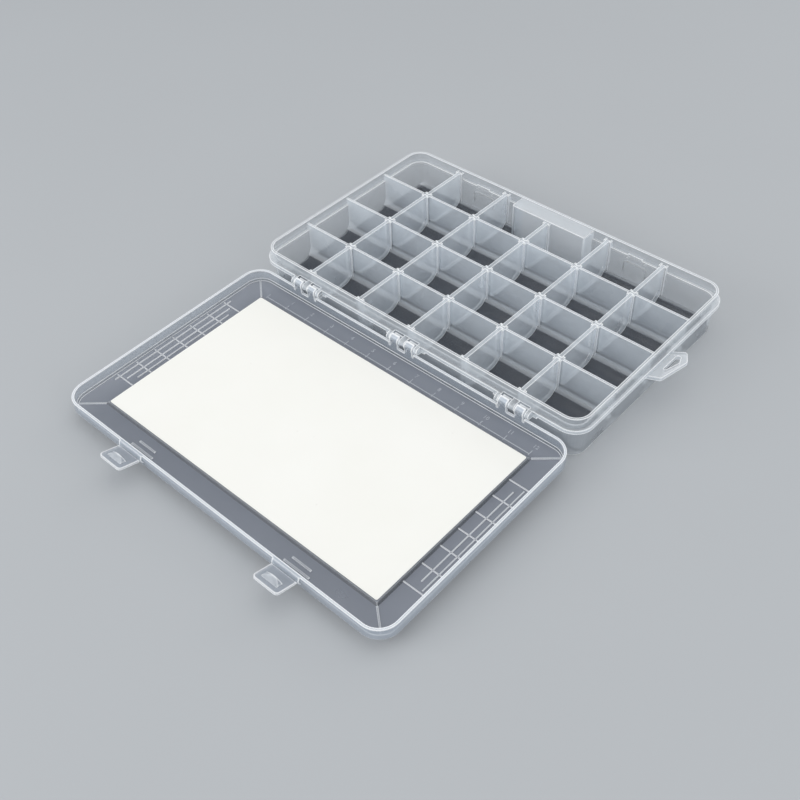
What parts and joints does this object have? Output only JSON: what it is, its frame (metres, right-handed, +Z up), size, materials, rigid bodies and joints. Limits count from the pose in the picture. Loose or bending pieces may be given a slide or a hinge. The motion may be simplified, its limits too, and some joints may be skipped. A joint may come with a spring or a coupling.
{
  "type": "compartment parts box",
  "caption": "Flat translucent plastic parts box with rows of compartments, loose dividers, a hinged snap-latch lid with a label card, and a hanging loop.",
  "frame": {"origin": "centre of the base's underside, on the surface that the box stands on", "axes": "+X along the box towards the hanging loop, +Y from the hinge wall towards the latch wall, +Z up; the open lid lies towards -Y"},
  "size_m": [0.1909, 0.2391, 0.0215],
  "materials": {
    "base": "translucent satin",
    "lid": "translucent satin",
    "latch": "translucent satin",
    "divider": "translucent satin",
    "card": "plain paper"
  },
  "bodies": {
    "base": {"base": "base"},
    "lid": {"lid": "lid", "label_card": "card"},
    "latch_left": {"latch_left": "latch"},
    "latch_right": {"latch_right": "latch"},
    "divider_r1_1": {"divider_r1_1": "divider"},
    "divider_r1_2": {"divider_r1_2": "divider"},
    "divider_r1_3": {"divider_r1_3": "divider"},
    "divider_r1_4": {"divider_r1_4": "divider"},
    "divider_r1_5": {"divider_r1_5": "divider"},
    "divider_r2_1": {"divider_r2_1": "divider"},
    "divider_r2_2": {"divider_r2_2": "divider"},
    "divider_r2_3": {"divider_r2_3": "divider"},
    "divider_r2_4": {"divider_r2_4": "divider"},
    "divider_r2_5": {"divider_r2_5": "divider"},
    "divider_r3_1": {"divider_r3_1": "divider"},
    "divider_r3_2": {"divider_r3_2": "divider"},
    "divider_r3_3": {"divider_r3_3": "divider"},
    "divider_r3_4": {"divider_r3_4": "divider"},
    "divider_r3_5": {"divider_r3_5": "divider"},
    "divider_r4_1": {"divider_r4_1": "divider"},
    "divider_r4_2": {"divider_r4_2": "divider"},
    "divider_r4_3": {"divider_r4_3": "divider"},
    "divider_r4_4": {"divider_r4_4": "divider"},
    "divider_r4_5": {"divider_r4_5": "divider"}
  },
  "joints": [
    {"name": "lid_hinge", "type": "hinge", "parent": "base", "child": "lid", "pos_m": [0, -0.0575, 0.0145], "axis": [1, 0, 0], "range_deg": [-181, 0]},
    {"name": "latch_left_flap", "type": "hinge", "parent": "lid", "child": "latch_left", "pos_m": [-0.045, -0.17321, 0.00838], "axis": [1, 0, 0], "range_deg": [-73, 0]},
    {"name": "latch_right_flap", "type": "hinge", "parent": "lid", "child": "latch_right", "pos_m": [0.045, -0.17321, 0.00838], "axis": [1, 0, 0], "range_deg": [-73, 0]},
    {"name": "divider_r1_1_lift", "type": "slide", "parent": "base", "child": "divider_r1_1", "axis": [0, 0, 1], "range_m": [0, 0.016]},
    {"name": "divider_r1_2_lift", "type": "slide", "parent": "base", "child": "divider_r1_2", "axis": [0, 0, 1], "range_m": [0, 0.016]},
    {"name": "divider_r1_3_lift", "type": "slide", "parent": "base", "child": "divider_r1_3", "axis": [0, 0, 1], "range_m": [0, 0.016]},
    {"name": "divider_r1_4_lift", "type": "slide", "parent": "base", "child": "divider_r1_4", "axis": [0, 0, 1], "range_m": [0, 0.016]},
    {"name": "divider_r1_5_lift", "type": "slide", "parent": "base", "child": "divider_r1_5", "axis": [0, 0, 1], "range_m": [0, 0.016]},
    {"name": "divider_r2_1_lift", "type": "slide", "parent": "base", "child": "divider_r2_1", "axis": [0, 0, 1], "range_m": [0, 0.016]},
    {"name": "divider_r2_2_lift", "type": "slide", "parent": "base", "child": "divider_r2_2", "axis": [0, 0, 1], "range_m": [0, 0.016]},
    {"name": "divider_r2_3_lift", "type": "slide", "parent": "base", "child": "divider_r2_3", "axis": [0, 0, 1], "range_m": [0, 0.016]},
    {"name": "divider_r2_4_lift", "type": "slide", "parent": "base", "child": "divider_r2_4", "axis": [0, 0, 1], "range_m": [0, 0.016]},
    {"name": "divider_r2_5_lift", "type": "slide", "parent": "base", "child": "divider_r2_5", "axis": [0, 0, 1], "range_m": [0, 0.016]},
    {"name": "divider_r3_1_lift", "type": "slide", "parent": "base", "child": "divider_r3_1", "axis": [0, 0, 1], "range_m": [0, 0.016]},
    {"name": "divider_r3_2_lift", "type": "slide", "parent": "base", "child": "divider_r3_2", "axis": [0, 0, 1], "range_m": [0, 0.016]},
    {"name": "divider_r3_3_lift", "type": "slide", "parent": "base", "child": "divider_r3_3", "axis": [0, 0, 1], "range_m": [0, 0.016]},
    {"name": "divider_r3_4_lift", "type": "slide", "parent": "base", "child": "divider_r3_4", "axis": [0, 0, 1], "range_m": [0, 0.016]},
    {"name": "divider_r3_5_lift", "type": "slide", "parent": "base", "child": "divider_r3_5", "axis": [0, 0, 1], "range_m": [0, 0.016]},
    {"name": "divider_r4_1_lift", "type": "slide", "parent": "base", "child": "divider_r4_1", "axis": [0, 0, 1], "range_m": [0, 0.016]},
    {"name": "divider_r4_2_lift", "type": "slide", "parent": "base", "child": "divider_r4_2", "axis": [0, 0, 1], "range_m": [0, 0.016]},
    {"name": "divider_r4_3_lift", "type": "slide", "parent": "base", "child": "divider_r4_3", "axis": [0, 0, 1], "range_m": [0, 0.016]},
    {"name": "divider_r4_4_lift", "type": "slide", "parent": "base", "child": "divider_r4_4", "axis": [0, 0, 1], "range_m": [0, 0.016]},
    {"name": "divider_r4_5_lift", "type": "slide", "parent": "base", "child": "divider_r4_5", "axis": [0, 0, 1], "range_m": [0, 0.016]}
  ]
}
